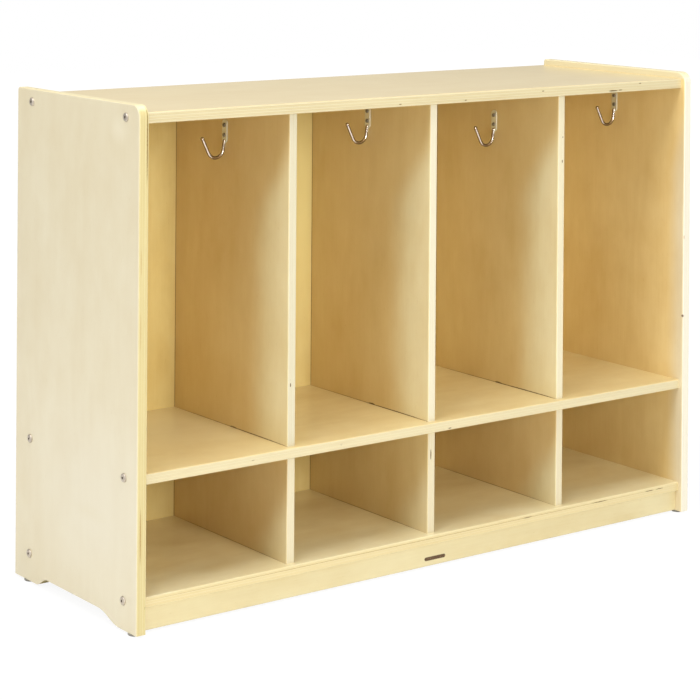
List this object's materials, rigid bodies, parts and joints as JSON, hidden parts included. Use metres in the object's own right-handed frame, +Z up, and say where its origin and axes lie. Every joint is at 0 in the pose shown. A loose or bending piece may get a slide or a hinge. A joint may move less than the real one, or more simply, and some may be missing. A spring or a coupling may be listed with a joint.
{
  "type": "open coat locker",
  "caption": "Open plywood coat locker with side-by-side coat bays, a metal coat hook in each bay, low cubbies beneath, a toe kick and arched side panels.",
  "frame": {"origin": "on the floor under the middle of the locker, midway across its width and its depth", "axes": "+X along the width, to the right seen from the open front; the open front faces -Y; +Z up"},
  "size_m": [1.225, 0.381, 0.823],
  "materials": {
    "side_ply": "clear satin lacquer on birch-faced plywood",
    "shelf_ply": "clear satin lacquer on birch-faced plywood",
    "divider_ply": "clear satin lacquer on birch-faced plywood",
    "back_ply": "clear satin lacquer on thin birch plywood",
    "rail_ply": "clear satin lacquer on birch-faced plywood",
    "dowel_wood": "plain fluted beech",
    "bolt_nickel": "polished nickel plate",
    "hook_nickel": "polished nickel plate",
    "zinc_steel": "bright zinc plate",
    "glide_plastic": "grey moulded plastic",
    "mark_print": "dark brown matt print"
  },
  "bodies": {
    "root": {"left_side_panel": "side_ply", "right_side_panel": "side_ply", "top_panel": "shelf_ply", "middle_shelf": "shelf_ply", "bottom_shelf": "shelf_ply", "upper_divider_left": "divider_ply", "lower_divider_left": "divider_ply", "upper_divider_center": "divider_ply", "lower_divider_center": "divider_ply", "upper_divider_right": "divider_ply", "lower_divider_right": "divider_ply", "back_panel": "back_ply", "toe_kick": "rail_ply", "rear_rail": "rail_ply", "top_divider_dowels": "dowel_wood", "middle_divider_dowels": "dowel_wood", "bottom_divider_dowels": "dowel_wood", "rail_dowels": "dowel_wood", "left_joint_bolts": "bolt_nickel", "right_joint_bolts": "bolt_nickel", "barrel_nuts": "zinc_steel", "back_screws": "zinc_steel", "glide_nails": "zinc_steel", "coat_hook_1": "hook_nickel", "coat_hook_2": "hook_nickel", "coat_hook_3": "hook_nickel", "coat_hook_4": "hook_nickel", "hook_screws": "hook_nickel", "floor_glides": "glide_plastic", "maker_mark": "mark_print"}
  },
  "joints": []
}
